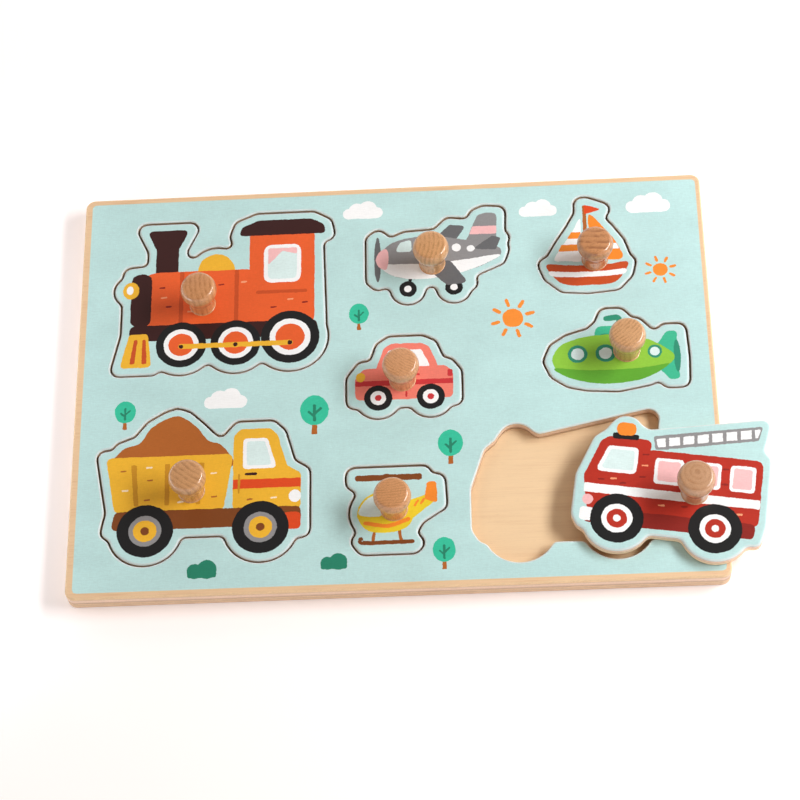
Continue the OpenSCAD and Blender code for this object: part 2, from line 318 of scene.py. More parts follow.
def aeroplane_print():
    """A small airliner that faces left, with a spinning propeller."""
    art = [
        ("slate", rounded([(-5, 5), (7, 5), (14, 15.5), (6, 16.5)], 1.8)),
        ("grey", rounded([(11, 0), (19.5, 21), (23, 22.5), (29, 22), (28, 0)], 2.6)),
        ("pink", rounded([(17.2, 15), (28.7, 15), (28.6, 10.5), (15.4, 10.5)], 0.4)),
        ("black", stroke([(-13, -12), (-14.5, -18)], 1.6)),
        ("black", stroke([(9, -10), (8, -18)], 1.6)),
        ("black", disc(-14.5, -18.3, 4.2)),
        ("white", disc(-14.5, -18.3, 1.8)),
        ("black", disc(7.5, -18.3, 4.2)),
        ("white", disc(7.5, -18.3, 1.8)),
        ("slate", disc(-28.9, -1.5, 1.6, 12.5)),
        ("grey", blob((-27, -2), (-24.5, 5.5), (-15, 9.8), (-2, 10.3), (12, 8), (24, 4.6), (30.2, 2),
                      (28.5, -3), (14, -9.5), (-4, -13), (-18, -12), (-25.5, -8))),
        ("white", blob((-26.3, -4.6), (-18, -4.4), (-4, -4.8), (12, -3.4), (28.8, -1.2), (27, -3.8),
                       (14, -9.5), (-4, -13), (-18, -12), (-25.3, -8.2))),
        ("pink", blob((-29.8, -1.6), (-28, 2.6), (-24.6, 4.2), (-23.6, -1.4), (-24.8, -7), (-28.2, -5.6))),
        ("sky", rounded([(-20.5, 2.2), (-18, 7.6), (-12.5, 9), (-12.5, 2.2)], 1.5)),
    ]
    for x, y, r in ((-6, 4, 2.2), (1.5, 4, 2.2), (9, 3.6, 2.2), (16, 2.8, 1.9)):
        art.append(("white", disc(x, y, r)))
    return art + [
        ("slate", rounded([(-9, -3.5), (6, -3.5), (14.5, -16), (4, -17)], 2)),
        ("slate", rounded([(17, 2.5), (26.5, 9.3), (30.4, 8), (28, 1.5)], 1)),
    ]


def sailboat_print():
    """A sailboat with two striped sails."""
    return [
        ("brown", bar(-0.9, -12, 0.9, 21.8, 0.4)),
        ("scarlet", rounded([(0, 22.3), (0, 16.8), (8.4, 19.4)], 0.6)),
        ("tangerine", blob((2.2, 16.5), (9, 9), (14.5, 0.5), (17, -8), (9.5, -8.9), (2.2, -8.6), (2, 4))),
        ("white", blob((-2.2, 14.5), (-2.1, 3), (-2.2, -8.6), (-9, -8.9), (-15.5, -8), (-11, 0), (-6, 7.6))),
        ("tangerine", rounded([(-6.8, 7), (-2.2, 7), (-2.2, 3.4), (-9, 3.4)], 0.3)),
        ("tangerine", rounded([(-11.5, 0.2), (-2.2, 0.2), (-2.2, -3.4), (-13.5, -3.4)], 0.3)),
        ("white", rounded([(2.1, 7.5), (10.2, 7.5), (12, 4.6), (2.1, 4.6)], 0.3)),
        ("white", rounded([(2.1, 0), (14.6, 0), (15.7, -2.9), (2.1, -2.9)], 0.3)),
        ("ember", blob((-19, -10.4), (-8, -11.4), (8, -11.4), (19, -10.4), (17.5, -16), (12.5, -21.4),
                       (0, -22.5), (-11, -21.6), (-17, -16.2))),
        ("white", blob((-17.8, -14.2), (-8, -15), (8, -15), (17.9, -14.2), (17.1, -16.9), (8, -17.8),
                       (-8, -17.8), (-16.6, -16.9))),
    ]


def car_print():
    """A small car that faces left."""
    art = [
        ("coral", rounded([(-14, 1), (-9.5, 15), (-6, 17.5), (8, 17.5), (12, 15.5), (17.5, 1)], 3)),
        ("white", rounded([(-10.5, 4.5), (-7.2, 14), (-0.3, 14), (-0.3, 4.5)], 1.4)),
        ("white", rounded([(2.2, 4.5), (2.2, 14), (8.4, 14), (12.6, 4.5)], 1.4)),
        ("coral", rounded([(-23, -12), (-23, -1), (-19, 4.5), (20, 5), (23, 1), (23, -12)], 3.5)),
        ("red", bar(-22.9, -4.6, 22.9, -1.9, 0.3)),
        ("red", stroke([(1, 4.6), (1, -10.5)], 0.9)),
        ("red", stroke([(3.3, 0.8), (7, 0.8)], 1.2)),
        ("yellow", disc(-20.4, 0.2, 2.2, 2.4)),
        ("red", bar(20.4, -0.9, 22.8, 2.8, 0.6)),
    ]
    for x in (-12.2, 12.4):
        art += wheel(x, -11, 6.6, ("white", 0.56), ("red", 0.24))
    return art


def submarine_print():
    """A submarine that faces left, with a periscope, three portholes and a tail fin."""
    art = [
        ("sea", stroke([(2, 10), (2, 16.4), (-3.6, 16.4)], 2.9)),
        ("teal", bar(-9.5, 3, 12.5, 12.5, 3.6)),
        ("sea", bar(-7, 5.8, 10, 8.2, 1)),
        ("teal", rounded([(15, -5), (24, 8.5), (29.3, 8.5), (27.5, -5), (29.3, -17), (24, -17)], 2.2)),
        ("sea", disc(28.3, -4.8, 1.6, 8.6)),
        ("leaf", blob((-30, -5), (-25.5, 3), (-14, 7), (0, 7.6), (14, 5), (24, -1), (27, -5), (24, -9.4),
                      (14, -15.4), (0, -18), (-14, -17), (-25.5, -12.6))),
        ("moss", blob((-28.8, -9), (-14, -10.6), (0, -10.8), (14, -10.2), (24.5, -8.8), (14, -15.4),
                      (0, -18), (-14, -17), (-25, -12.9))),
    ]
    for x, r in ((-18, 4.6), (-5, 4.6), (18, 3.4)):
        art += [("sea", disc(x, -2, r)), ("sky", disc(x, -2, r * 0.66))]
    return art


def lorry_print():
    """A tipper lorry that faces right, with a heap of earth."""
    art = [
        ("brown", blob((-43, 8), (-38, 19), (-30, 22), (-24, 30.5), (-13, 35.5), (-4, 30), (2, 22.5),
                       (9, 19), (13, 8), (-14, 4))),
        ("yellow", rounded([(-45.5, 15), (14, 15), (10, -13), (-40.5, -13)], 2.8)),
        ("honey", rounded([(-33.5, 11), (-31, 11), (-29.4, -10), (-31.6, -10)], 0.5)),
        ("honey", rounded([(-17.7, 11), (-15.3, 11), (-15.3, -10), (-17.4, -10)], 0.5)),
        ("honey", rounded([(-1.8, 11), (0.6, 11), (-1, -10), (-3, -10)], 0.5)),
        ("yellow", rounded([(14, -14), (14, 24), (17, 27.5), (31, 27.5), (34.5, 24), (39, 8), (45.5, 4),
                            (45.5, -14)], 3.2)),
        ("white", rounded([(18.5, 7), (18.5, 22.5), (29.8, 22.5), (34.2, 7)], 2)),
        ("sky", rounded([(20.2, 8.6), (20.2, 21), (28.6, 21), (32, 8.6)], 1.4)),
        ("scarlet", bar(14, -3, 45.4, 1.6, 0.3)),
        ("honey", stroke([(16.8, 4), (16.8, -5)], 1.0)),
        ("soot", stroke([(20, 4.3), (24.5, 4.3)], 1.3)),
        ("umber", rounded([(-42, -22), (45.4, -22), (45.4, -12.5), (-40.2, -12.5)], 2.8)),
        ("white", disc(42.8, -7.5, 2.8, 3.2)),
        ("scarlet", bar(37.5, -24, 45.4, -15.5, 1.8)),
    ]
    art += dashes("brown", [(-37, 8), (-24.5, 3), (-25.5, -7), (-10, 9), (5.5, -6.5), (22, -8.5)])
    art += dashes("cream", [(-25, 9.5), (-36, -2), (-10, -8.5), (5, 5.5), (33, -8)])
    for x in (-26, 27):
        art += wheel(x, -22.5, 13, ("grey", 0.585), ("yellow", 0.415), ("umber", 0.154))
    return art


def helicopter_print():
    """A small helicopter that faces left."""
    return [
        ("brown", bar(-6, 7, -3, 16, 0.8)),
        ("umber", bar(-19, 14.6, 12, 17.6, 1.4)),
        ("umber", disc(-4.5, 16, 2.6, 2)),
        ("brown", stroke([(-10, -9), (-11, -16.6)], 1.5)),
        ("brown", stroke([(1, -9), (2, -16.6)], 1.5)),
        ("umber", stroke([(-16.5, -14.2), (-14.5, -16.1), (7, -16.1)], 2.0)),
        ("lemon", rounded([(2, 3), (15, 7.4), (17.5, 3.5), (5, -6.5)], 2)),
        ("tangerine", rounded([(12.8, 4.5), (14, 13.4), (18.4, 13.4), (18.8, 2.5)], 1.5)),
        ("lemon", blob((-18, -3), (-15.6, 4.6), (-8.5, 8.9), (1, 8), (6.8, 2.6), (7.8, -3.2), (4.5, -9),
                       (-4.5, -11.4), (-13.5, -9.8))),
        ("sky", blob((-17, -2.2), (-15, 4), (-9.8, 7.2), (-7.2, 2), (-7.6, -3))),
        ("tangerine", stroke([(-14.4, -6.4), (-4, -8), (5.4, -5)], 1.9)),
        ("tangerine", stroke([(8.4, 1.8), (9.8, 4)], 1.2)),
        ("tangerine", stroke([(11.2, 2.6), (12.4, 4.6)], 1.2)),
    ]


def fire_engine_print():
    """A fire engine that faces left, with a ladder along its roof."""
    art = [
        ("grey", rounded([(-9, 15), (37, 25), (38.5, 32.5), (-10.5, 22)], 1.2)),
        ("white", rounded([(-8, 16.6), (36.6, 26.4), (37.6, 31), (-9, 20.6)], 0.6)),
    ]
    for k in range(7):
        x = -4.5 + 6.4 * k
        y = 15.8 + 1.39 * k
        art.append(("grey", rounded([(x, y), (x + 1.6, y + 0.35), (x + 1, y + 6.4), (x - 0.6, y + 6)], 0.3)))
    art += [
        ("brick", bar(-13, -18, 40, 15, 3)),
        ("brick", rounded([(-37, -18), (-40, -1), (-34, 17), (-30.5, 20), (-11, 20), (-11, -18)], 3.4)),
        ("black", bar(-29, 19, -17, 22, 0.8)),
        ("tangerine", bar(-27.5, 21, -18.5, 27.5, 3.2)),
        ("white", rounded([(-35, 2), (-30.2, 15.2), (-16.5, 15.2), (-16.5, 2)], 2)),
        ("sky", rounded([(-32.6, 3.6), (-29, 13.6), (-18.1, 13.6), (-18.1, 3.6)], 1.4)),
        ("white", bar(-39.2, -9, 39.9, -4.6, 0.3)),
    ]
    for x0, x1 in ((-8.5, 4.5), (8.5, 21.5), (25.5, 37)):
        art += [("white", bar(x0, -1.5, x1, 11.5, 1.6)), ("pink", bar(x0 + 1.5, 0, x1 - 1.5, 10, 1))]
    art += [
        ("maroon", bar(-38, -24, 38.5, -16.5, 2.2)),
        ("pink", disc(-37, -12.6, 2.4, 2.6)),
        ("white", bar(-40, -23, -33.5, -16.4, 1.6)),
    ]
    art += dashes("maroon", [(-32, -2), (-22, -3), (-13, 12.4), (-13.5, 1), (6.5, -11.5), (23.4, 9),
                             (23.5, 1.5)])
    art += dashes("peach", [(-26.5, -1.2), (-13, 6.8), (-4, -12), (16, -12), (31, -12.5)])
    for x in (-23, 21):
        art += wheel(x, -20.5, 12, ("white", 0.583), ("brick", 0.383), ("white", 0.142))
    return art


# Motifs between the cut-outs of the board, at places in its plan


def cloud(x, y, size=1.0):
    """A white cloud: four discs over a flat bar."""
    puffs = ((-6.6, 0.4, 3.0), (-2.6, 2.2, 4.0), (2.6, 3.0, 4.4), (6.8, 0.6, 3.1))
    art = [("white", disc(x + dx * size, y + dy * size, r * size)) for dx, dy, r in puffs]
    return art + [("white", bar(x - 8.6 * size, y - 2.6 * size, x + 8.8 * size, y + 1.6 * size, 1.6 * size))]


def sun(x, y, size=1.0):
    """An orange sun with eight short rays."""
    art = [("sun", disc(x, y, 3.4 * size))]
    for k in range(8):
        a = math.pi * (k + 0.35) / 4
        ray = [(x + r * size * math.cos(a), y + r * size * math.sin(a)) for r in (4.9, 6.9)]
        art.append(("sun", stroke(ray, 1.25 * size)))
    return art


def small_tree(x, y, size=1.0):
    """A round-headed tree that stands at x, y, with a short branch drawn in its crown."""
    return [
        ("brown", rounded([(x - 0.9 * size, y), (x + 0.9 * size, y), (x + 0.6 * size, y + 5 * size),
                           (x - 0.6 * size, y + 5 * size)], 0.3)),
        ("jade", disc(x, y + 8 * size, 4.3 * size, 5 * size)),
        ("pine", stroke([(x, y + 4.6 * size), (x, y + 9.6 * size)], 0.9 * size)),
        ("pine", stroke([(x, y + 6.8 * size), (x + 1.9 * size, y + 8.6 * size)], 0.8 * size)),
        ("pine", stroke([(x, y + 5.9 * size), (x - 1.7 * size, y + 7.5 * size)], 0.8 * size)),
    ]


def shrub(x, y, size=1.0):
    """A low bush: two discs over a flat foot."""
    return [
        ("pine", disc(x - 2.3 * size, y + 2.4 * size, 2.7 * size)),
        ("pine", disc(x + 1.7 * size, y + 3 * size, 3.4 * size)),
        ("pine", bar(x - 4.8 * size, y, x + 5 * size, y + 2.4 * size, 0.8 * size)),
    ]


def board_print():
    """Everything printed between the cut-outs."""
    art = []
    for place in ((-14, 91, 1.0), (71, 88, 0.95), (-79, -9, 1.05), (124, 88, 1.1)):
        art += cloud(*place)
    for place in ((57, 30, 1.45), (128, 53, 1.05)):
        art += sun(*place)
    for place in ((-37, -27, 1.55), (26, -45, 1.35), (-126, -21, 1.15), (-16, 27, 1.1), (22, -97, 1.2)):
        art += small_tree(*place)
    for place in ((-88, -97, 1.35), (-28, -95, 1.2)):
        art += shrub(*place)
    return art


# Meshes

# How near two points count as one in a CAD mesh and in a finished one, and how
# level the corners of a top face lie
CAD_WELD = 0.005
PIECE_WELD = 0.002
LEVEL_WITHIN = 0.01

# The triangulation keeps what lies inside its runs, and takes points this near each other as one
KEEP_INSIDE = 1
RUN_WELD = 1e-6


def top_loops(node):
    """The closed outlines of a CAD node's top face in millimetres, with the wood to the
    left. On a merged copy, an edge that only one level triangle has lies on an outline, and
    such edges chain into loops."""
    work = bmesh.new()
    work.from_mesh(bpy.data.objects[node].data)
    bmesh.ops.remove_doubles(work, verts=work.verts, dist=CAD_WELD * MM)
    work.verts.index_update()
    top = max(v.co.z for v in work.verts)
    level = [f for f in work.faces if all(abs(v.co.z - top) < LEVEL_WITHIN * MM for v in f.verts)]
    members = set(level)
    following = {}
    for face in level:
        for corner in face.loops:
            if sum(f in members for f in corner.edge.link_faces) == 1:
                following[corner.vert.index] = corner.link_loop_next.vert.index
    points = np.array([v.co[:2] for v in work.verts]) / MM
    work.free()
    loops = []
    while following:
        start, here = following.popitem()
        loop = [start]
        while here != start:
            loop.append(here)
            here = following.pop(here)
        loops.append(points[loop])
    return loops


def area(loop):
    """Signed area of a closed run: positive where it turns left."""
    following = np.roll(loop, -1, 0)
    return 0.5 * float((loop[:, 0] * following[:, 1] - following[:, 0] * loop[:, 1]).sum())


def cut_outline(loop):
    """A sawn outline: the CAD loop with even points, its facets softened as sanding does."""
    return soften(resample(loop, CUT_STEP), CUT_SOFTENING, CUT_STEP)


def moved(loop, distance):
    """The loop moved along its softened normals: away from the wood by the distance, or into it where
    the distance is below zero."""
    return loop + soften(outward(loop), CUT_STEP, CUT_STEP) * distance


def rounding(reach, drop, facets):
    """Points (outward, up) of a quarter ellipse that leaves the top level and ends upright."""
    a = np.linspace(0, np.pi / 2, facets + 1)
    return [(-reach + reach * math.sin(t), -drop + drop * math.cos(t)) for t in a]


def rounded_edge(reach, drop, facets, top):
    """Profile (outward, z) of a sanded edge: the level ring beside it, then
    its rounding down from the top."""
    return [(-reach - LEVEL_RING, top)] + [(d, top + z) for d, z in rounding(reach, drop, facets)]


class Shell:
    """Gathers the faces of one piece, each with its material, and makes the object at the end."""

    def __init__(self):
        self.points = []
        self.faces = []
        self.inks = []
        self.smooth = []
        self.count = 0

    def take(self, points, faces, ink, smooth):
        """Adds points in millimetres and faces that index them. Ink is one
        name, or one for each face."""
        self.points.append(np.asarray(points, float))
        self.faces += (np.asarray(faces) + self.count).tolist()
        self.inks += [ink] * len(faces) if isinstance(ink, str) else list(ink)
        self.smooth += [smooth] * len(faces)
        self.count += len(points)

    def flat(self, loops, z, ink, shapes=(), facing=1):
        """A level face cut along its loops and its printed shapes by a constrained
        Delaunay triangulation. A triangle takes the ink of the last shape that holds it,
        and is left out where it lies in a hole."""
        solid = [p for p in loops if area(p) > 0]
        holes = [p for p in loops if area(p) < 0]
        printed = [p if area(p) > 0 else p[::-1] for _, p in shapes]
        runs = solid + printed + [p[::-1] for p in holes]
        starts = np.cumsum([0] + [len(p) for p in runs])
        faces = [list(range(a, b)) for a, b in zip(starts[:-1], starts[1:])]
        flat_points = [Vector(p) for p in np.concatenate(runs).tolist()]
        cut = delaunay_2d_cdt(flat_points, [], faces, KEEP_INSIDE, RUN_WELD, True)
        placed, _, triangles, _, _, owners = cut
        first_hole = len(solid) + len(printed)
        inks = [ink] * len(solid) + [name for name, _ in shapes]
        kept = [(t, inks[max(own)]) for t, own in zip(triangles, owners) if own and max(own) < first_hole]
        points = np.column_stack([np.array([tuple(p) for p in placed]), np.full(len(placed), z)])
        turned = [t if facing > 0 else t[::-1] for t, _ in kept]
        self.take(points, turned, [name for _, name in kept], False)

    def band(self, rings, ink):
        """Quads between rings that have equally many points. From ring to ring the way leads outward over
        a top, down a side and inward underneath."""
        rings = np.asarray(rings, float)
        rows, count = rings.shape[:2]
        k, i = np.meshgrid(np.arange(rows - 1), np.arange(count), indexing="ij")
        j = (i + 1) % count
        faces = np.stack([k * count + i, (k + 1) * count + i, (k + 1) * count + j, k * count + j], -1)
        self.take(rings.reshape(-1, 3), faces.reshape(-1, 4), ink, True)

    def wall(self, loop, profile, ink):
        """A band along a loop: its profile holds (outward, z) for each ring."""
        self.band([np.column_stack([moved(loop, d), np.full(len(loop), z)]) for d, z in profile], ink)

    def pole(self, ring, middle, ink, facing=1):
        """Triangles from a small ring to its middle, which close an end. The ring
        runs anticlockwise from above."""
        count = len(ring)
        i = np.arange(count)
        fan = np.column_stack([np.full(count, count), i, (i + 1) % count])
        self.take(np.concatenate([ring, [middle]]), fan if facing > 0 else fan[:, ::-1], ink, True)

    def finish(self, name, finishes):
        """Makes the object. Finishes gives the material of each ink name."""
        mesh = bpy.data.meshes.new(name)
        mesh.from_pydata((np.concatenate(self.points) * MM).tolist(), [], self.faces)
        used = sorted(set(self.inks))
        for ink in used:
            mesh.materials.append(finishes(ink))
        order = {ink: k for k, ink in enumerate(used)}
        mesh.polygons.foreach_set("material_index", np.array([order[i] for i in self.inks], np.int32))
        mesh.polygons.foreach_set("use_smooth", np.array(self.smooth, bool))
        weld(mesh)
        thing = bpy.data.objects.new(name, mesh)
        bpy.context.scene.collection.objects.link(thing)
        return thing


def weld(mesh):
    """Merges the points that two bands or a band and a flat share."""
    work = bmesh.new()
    work.from_mesh(mesh)
    bmesh.ops.remove_doubles(work, verts=work.verts, dist=PIECE_WELD * MM)
    work.to_mesh(mesh)
    work.free()
    mesh.update()


# Materials

# Sockets that share a name in Blender, by number: the values of a sum, then a mix's share, its two
# colours and the colour that it gives
FIRST = 0
SECOND = 1
THIRD = 2
SHARE = 0
COLOUR_A = 6
COLOUR_B = 7
MIXED = 2

# Which of the object's axes runs along the grain, followed by the other two
ALONG_X = (0, 1, 2)
ALONG_Y = (1, 0, 2)
UPRIGHT = (2, 0, 1)

# Depth of the relief that the fibres of sanded wood leave, and of a sawn edge's, in millimetres
SANDED_RELIEF = 0.05
SAWN_RELIEF = 0.06

# Light of an ink in its dark streaks, in white's, in its light streaks and in
# its thin specks, against its own
INK_DARK = 0.93
WHITE_DARK = 0.965
INK_LIGHT = 1.05
INK_SPECK = 1.45

# Light of birch's silkiest streaks and of its pores, against its light and its dark wood
BIRCH_SILK = 1.03
BIRCH_PORE = 0.72

# Plywood's edge: colour of its glue lines, how far each fades up into the ply above, the share of that
# by which it starts in the ply below, and how far the plies wave
GLUE_COLOUR = "#8a6b54"
GLUE_FADE = 0.26
GLUE_START_SHARE = 0.4
PLY_WAVE = 0.12

# Beech: how far its rings wobble and ripple, where its dark core starts to fade and ends, and the light
# of core and flecks against its dark wood
RING_WOBBLE = 1.4
RING_RIPPLE = 0.45
CORE_FULL = 1.0
CORE_END = 2.4
CORE_SHADE = 0.8
FLECK_SHADE = 0.66


def add(tree, kind, settings=None, links=None):
    """Adds a node: settings go to its sockets or properties by name, links join
    its sockets to others' outputs."""
    node = tree.nodes.new(kind)
    for name, value in (settings or {}).items():
        if name == "stops":
            while len(node.color_ramp.elements) < len(value):
                node.color_ramp.elements.new(1.0)
            for element, (place, colour) in zip(node.color_ramp.elements, value):
                element.position = place
                element.color = linear(colour) if isinstance(colour, str) else (colour, colour, colour, 1.0)
        elif isinstance(name, int) or name in node.inputs:
            node.inputs[name].default_value = value
        else:
            setattr(node, name, value)
    for name, source in (links or {}).items():
        socket = source if isinstance(source, bpy.types.NodeSocket) else source.outputs[0]
        tree.links.new(socket, node.inputs[name])
    return node


def new_material(name):
    """An empty node tree with a Principled shader: returns the material, its tree and the shader."""
    material = bpy.data.materials.new(name)
    material.use_nodes = True
    tree = material.node_tree
    tree.nodes.clear()
    shader = add(tree, "ShaderNodeBsdfPrincipled", {"IOR": 1.5})
    add(tree, "ShaderNodeOutputMaterial", links={"Surface": shader})
    return material, tree, shader


def grain(tree, long, wide, turn=0.0, axes=ALONG_X, **settings):
    """Noise in Object coordinates, drawn out along the grain: a fleck is long by wide millimetres, and
    the first of the axes runs along it."""
    where = add(tree, "ShaderNodeTexCoord")
    turned = add(tree, "ShaderNodeMapping", {"vector_type": "TEXTURE", "Rotation": (0, 0, turn)},
                 {"Vector": where.outputs["Object"]})
    scale = [1 / (wide * MM)] * 3
    scale[axes[0]] = 1 / (long * MM)
    stretched = add(tree, "ShaderNodeMapping", {"Scale": scale}, {"Vector": turned})
    return add(tree, "ShaderNodeTexNoise", {"Scale": 1.0, **settings}, {"Vector": stretched})


def shade(colour, factor):
    """A hex colour whose linear value is multiplied by the factor, for the
    light and dark of one finish."""
    c = np.clip(np.array(linear(colour)[:3]) * factor, 0, 1)
    c = np.where(c <= 0.0031308, c * 12.92, 1.055 * c ** (1 / 2.4) - 0.055)
    return "#" + "".join(f"{int(round(v * 255)):02x}" for v in c)


def printed_ink(name, turn):
    """Satin varnished ink on a sanded birch veneer. The ink follows the veneer's fibres, so the eye
    sees fine streaks along the grain, a faint weave across it, and sparse specks where it lies thin."""
    material, tree, shader = new_material(f"{name}_ink_on_birch" + ("_turned" if turn else ""))
    colour = INKS[name]
    streaks = grain(tree, long=2.8, wide=0.4, turn=turn, Detail=3.0, Roughness=0.6)
    weave = grain(tree, long=2.2, wide=0.5, turn=turn, axes=ALONG_Y, Detail=2.0)
    specks = grain(tree, long=0.55, wide=0.5, turn=turn, Detail=1.0)
    clouding = grain(tree, long=26.0, wide=14.0, turn=turn, Detail=2.0)
    crossed = add(tree, "ShaderNodeMath", {"operation": "MULTIPLY_ADD", SECOND: 0.45},
                  {FIRST: weave, THIRD: streaks})
    spread = add(tree, "ShaderNodeMapRange", {"From Min": 0.5, "From Max": 0.95}, {"Value": crossed})
    dark = shade(colour, WHITE_DARK if name == "white" else INK_DARK)
    ink = add(tree, "ShaderNodeMix", {"data_type": "RGBA", COLOUR_A: linear(dark),
                                      COLOUR_B: linear(shade(colour, INK_LIGHT))}, {SHARE: spread})
    cloudy = add(tree, "ShaderNodeMapRange",
                 {"From Min": 0.3, "From Max": 0.7, "To Min": 0.955, "To Max": 1.03}, {"Value": clouding})
    shaded = add(tree, "ShaderNodeMix", {"data_type": "RGBA", "blend_type": "MULTIPLY", SHARE: 1.0},
                 {COLOUR_A: ink.outputs[MIXED], COLOUR_B: cloudy})
    thin = add(tree, "ShaderNodeMapRange", {"From Min": 0.66, "From Max": 0.74, "To Max": 0.22},
               {"Value": specks})
    speckled = add(tree, "ShaderNodeMix", {"data_type": "RGBA", COLOUR_B: linear(shade(colour, INK_SPECK))},
                   {SHARE: thin, COLOUR_A: shaded.outputs[MIXED]})
    tree.links.new(speckled.outputs[MIXED], shader.inputs["Base Color"])
    rough = add(tree, "ShaderNodeMapRange", {"To Min": 0.4, "To Max": 0.54}, {"Value": streaks})
    tree.links.new(rough.outputs[0], shader.inputs["Roughness"])
    shader.inputs["Specular IOR Level"].default_value = 0.3
    bump = add(tree, "ShaderNodeBump", {"Strength": 0.25, "Distance": SANDED_RELIEF * MM},
               {"Height": crossed})
    tree.links.new(bump.outputs[0], shader.inputs["Normal"])
    return material


def birch_face(name, turn=0.0, light="#e4c29b", dark="#d8b089"):
    """Rotary-cut birch veneer, sanded: pale, with silky streaks along the grain, short
    darker pores and a broad wavy figure."""
    material, tree, shader = new_material(name)
    streaks = grain(tree, long=24.0, wide=0.8, turn=turn, Detail=4.0, Roughness=0.65)
    pores = grain(tree, long=3.2, wide=0.22, turn=turn, Detail=1.0)
    figure = grain(tree, long=60.0, wide=11.0, turn=turn, Detail=2.0, Distortion=0.8)
    broad = add(tree, "ShaderNodeMath", {"operation": "MULTIPLY_ADD", SECOND: 0.6},
                {FIRST: figure, THIRD: streaks})
    silk = shade(light, BIRCH_SILK)
    wood = add(tree, "ShaderNodeValToRGB", {"stops": [(0.52, dark), (0.78, light), (1.0, silk)]},
               {"Fac": broad})
    open_pore = add(tree, "ShaderNodeMapRange", {"From Min": 0.62, "From Max": 0.72, "To Max": 0.22},
                    {"Value": pores})
    finished = add(tree, "ShaderNodeMix", {"data_type": "RGBA", COLOUR_B: linear(shade(dark, BIRCH_PORE))},
                   {SHARE: open_pore, COLOUR_A: wood})
    tree.links.new(finished.outputs[MIXED], shader.inputs["Base Color"])
    shader.inputs["Roughness"].default_value = 0.55
    bump = add(tree, "ShaderNodeBump", {"Strength": 0.3, "Distance": SANDED_RELIEF * MM}, {"Height": streaks})
    tree.links.new(bump.outputs[0], shader.inputs["Normal"])
    return material


def ply_edge(name, foot, layers):
    """Sawn and sanded edge of birch plywood: pale plies whose fibres run along the edge,
    browner plies that show their end grain, and thin dark glue lines. Layers are (height of the
    ply's top over the foot, its colour)."""
    material, tree, shader = new_material(name)
    where = add(tree, "ShaderNodeTexCoord")
    axes = add(tree, "ShaderNodeSeparateXYZ", links={"Vector": where.outputs["Object"]})
    wave = grain(tree, long=14.0, wide=5.0, Detail=1.0)
    lifted = add(tree, "ShaderNodeMath", {"operation": "MULTIPLY_ADD", SECOND: PLY_WAVE * MM},
                 {FIRST: wave, THIRD: axes.outputs["Z"]})
    top = layers[-1][0]
    lift = PLY_WAVE / 2
    height = add(tree, "ShaderNodeMapRange",
                 {"From Min": (foot + lift) * MM, "From Max": (foot + top + lift) * MM}, {"Value": lifted})
    glue = GLUE_FADE / top
    stops = []
    below = 0.0
    for reach, colour in layers:
        line = reach / top
        stops += [(below + glue, colour), (line - glue * GLUE_START_SHARE, colour), (line, GLUE_COLOUR)]
        below = line
    ramp = add(tree, "ShaderNodeValToRGB", {"stops": stops[:-1]}, {"Fac": height})
    fibres = grain(tree, long=7.0, wide=0.25, Detail=3.0)
    end_grain = grain(tree, long=0.5, wide=0.35, Detail=2.0)
    texture = add(tree, "ShaderNodeMath", {"operation": "ADD"}, {FIRST: fibres, SECOND: end_grain})
    shading = add(tree, "ShaderNodeMapRange",
                  {"From Min": 0.7, "From Max": 1.3, "To Min": 0.84, "To Max": 1.12}, {"Value": texture})
    finished = add(tree, "ShaderNodeMix", {"data_type": "RGBA", "blend_type": "MULTIPLY", SHARE: 1.0},
                   {COLOUR_A: ramp, COLOUR_B: shading})
    tree.links.new(finished.outputs[MIXED], shader.inputs["Base Color"])
    shader.inputs["Roughness"].default_value = 0.6
    bump = add(tree, "ShaderNodeBump", {"Strength": 0.3, "Distance": SAWN_RELIEF * MM}, {"Height": texture})
    tree.links.new(bump.outputs[0], shader.inputs["Normal"])
    return material


